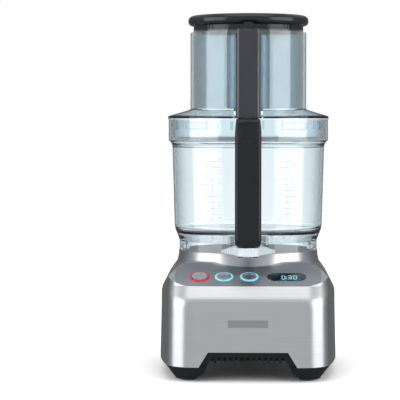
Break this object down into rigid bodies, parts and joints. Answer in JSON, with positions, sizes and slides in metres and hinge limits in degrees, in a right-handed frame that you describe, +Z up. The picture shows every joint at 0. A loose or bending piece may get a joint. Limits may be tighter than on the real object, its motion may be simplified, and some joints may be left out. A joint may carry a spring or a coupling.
{
  "type": "food processor",
  "caption": "Food processor with brushed-metal motor base, clear handled bowl, blade, lid with wide feed chute, nested pushers and push-button panel.",
  "frame": {"origin": "on the floor, under the centre of the base", "axes": "+Z up along the bowl axis, front with the controls and handle at -Y, +X to the viewer's right"},
  "size_m": [0.22, 0.266, 0.4426],
  "materials": {
    "brushed_metal": "fine horizontal brushing",
    "black_plastic": "fine spark texture",
    "black_rubber": "matt",
    "screw_steel": "zinc plated",
    "badge_metal": "satin",
    "panel_metal": "darker brushing",
    "red_ring": "translucent, lit",
    "cyan_ring": "translucent, lit",
    "button_silver": "satin, dished",
    "circuit_board": "solder mask",
    "display_glass": "smoked window",
    "display_lit": "lit display",
    "motor_steel": "stacked laminations",
    "copper_winding": "enamelled copper",
    "bright_steel": "ground",
    "cast_aluminium": "as cast",
    "grey_plastic": "moulded",
    "capacitor_can": "drawn can",
    "seal_rubber": "soft",
    "clear_plastic": "clear, blue tint",
    "smoke_plastic": "clear, smoke blue",
    "pale_plastic": "translucent",
    "handle_black": "soft satin",
    "column_gloss": "polished",
    "black_gloss": "satin gloss",
    "blade_steel": "ground edge"
  },
  "bodies": {
    "base": {"base_housing": "brushed_metal", "base_chassis": "black_plastic", "rubber_feet": "black_rubber", "chassis_screws": "screw_steel", "cord_gland": "black_rubber", "badge_plate": "badge_metal", "control_panel": "panel_metal", "power_light_ring": "red_ring", "start_pulse_light_rings": "cyan_ring", "control_board": "circuit_board", "board_screws": "screw_steel", "display_lens": "display_glass", "lcd_module": "display_lit", "motor_stator": "motor_steel", "motor_windings": "copper_winding", "motor_bearings": "bright_steel", "motor_lower_bracket": "cast_aluminium", "motor_upper_bracket": "cast_aluminium", "motor_mounts": "black_rubber", "motor_screws": "screw_steel", "motor_capacitor": "capacitor_can", "power_board": "circuit_board", "interlock_switch": "grey_plastic", "plunger_spring": "bright_steel", "bowl_seat": "grey_plastic", "shaft_seal": "seal_rubber"},
    "drive": {"motor_rotor": "motor_steel", "drive_shaft": "bright_steel", "cooling_fan": "grey_plastic", "drive_coupling": "grey_plastic"},
    "power_button": {"power_button": "button_silver"},
    "start_button": {"start_button": "button_silver"},
    "pulse_button": {"pulse_button": "button_silver"},
    "switch_plunger": {"switch_plunger": "grey_plastic"},
    "bowl_hub": {"bowl_hub_sleeve": "grey_plastic"},
    "bowl": {"bowl": "clear_plastic", "handle_front": "handle_black", "handle_back": "handle_black", "handle_screws": "screw_steel", "handle_bracket": "pale_plastic", "handle_spring": "bright_steel"},
    "handle_rod": {"handle_rod": "grey_plastic"},
    "blade": {"blade_hub": "handle_black", "blade_cap": "handle_black", "blades": "blade_steel"},
    "lid_seal": {"lid_seal": "seal_rubber"},
    "lid": {"lid": "clear_plastic", "column_cover": "column_gloss", "column_spring": "bright_steel"},
    "column_rod": {"column_rod": "grey_plastic"},
    "pusher": {"pusher_sleeve": "smoke_plastic", "feed_tube": "smoke_plastic", "pusher_rim": "black_gloss", "pusher_tab": "black_gloss"},
    "small_pusher": {"small_pusher": "smoke_plastic", "small_pusher_cap": "black_gloss"}
  },
  "joints": [
    {"name": "drive_spin", "type": "hinge", "parent": "base", "child": "drive", "pos_m": [0, 0.018, 0], "axis": [0, 0, 1], "continuous": true},
    {"name": "power_button_press", "type": "slide", "parent": "base", "child": "power_button", "axis": [0, 0.3907, -0.9205], "range_m": [0, 0.0015], "stiffness_N_per_m": 400, "springref_m": -0.002},
    {"name": "start_button_press", "type": "slide", "parent": "base", "child": "start_button", "axis": [0, 0.3907, -0.9205], "range_m": [0, 0.0015], "stiffness_N_per_m": 400, "springref_m": -0.002},
    {"name": "pulse_button_press", "type": "slide", "parent": "base", "child": "pulse_button", "axis": [0, 0.3907, -0.9205], "range_m": [0, 0.0015], "stiffness_N_per_m": 400, "springref_m": -0.002},
    {"name": "plunger_press", "type": "slide", "parent": "base", "child": "switch_plunger", "axis": [0, 0, 1], "range_m": [-0.003, 0], "stiffness_N_per_m": 120, "springref_m": 0.004, "deforming": ["plunger_spring"]},
    {"name": "bowl_lift", "type": "slide", "parent": "base", "child": "bowl_hub", "axis": [0, 0, 1], "range_m": [0, 0.1]},
    {"name": "bowl_twist", "type": "hinge", "parent": "bowl_hub", "child": "bowl", "pos_m": [0, 0.018, 0], "axis": [0, 0, 1], "range_deg": [-25, 0]},
    {"name": "blade_spin", "type": "hinge", "parent": "bowl_hub", "child": "blade", "pos_m": [0, 0.018, 0], "axis": [0, 0, 1], "continuous": true},
    {"name": "handle_rod_press", "type": "slide", "parent": "bowl", "child": "handle_rod", "axis": [0, 0, 1], "range_m": [-0.003, 0], "stiffness_N_per_m": 150, "springref_m": 0.004, "deforming": ["handle_spring"]},
    {"name": "lid_lift", "type": "slide", "parent": "bowl", "child": "lid_seal", "axis": [0, 0, 1], "range_m": [0, 0.06]},
    {"name": "lid_twist", "type": "hinge", "parent": "lid_seal", "child": "lid", "pos_m": [0, 0.018, 0], "axis": [0, 0, 1], "range_deg": [-25, 0]},
    {"name": "column_rod_press", "type": "slide", "parent": "lid", "child": "column_rod", "axis": [0, 0, 1], "range_m": [-0.003, 0], "stiffness_N_per_m": 150, "springref_m": 0.004, "deforming": ["column_spring"]},
    {"name": "pusher_lift", "type": "slide", "parent": "lid", "child": "pusher", "axis": [0, 0, 1], "range_m": [0, 0.11]},
    {"name": "small_pusher_lift", "type": "slide", "parent": "pusher", "child": "small_pusher", "axis": [0, 0, 1], "range_m": [0, 0.12]}
  ],
  "couplings": [
    {"joint": "blade_spin", "follows": "drive_spin", "ratio": 1},
    {"joint": "handle_rod_press", "follows": "column_rod_press", "ratio": 1},
    {"joint": "plunger_press", "follows": "column_rod_press", "ratio": 1}
  ]
}
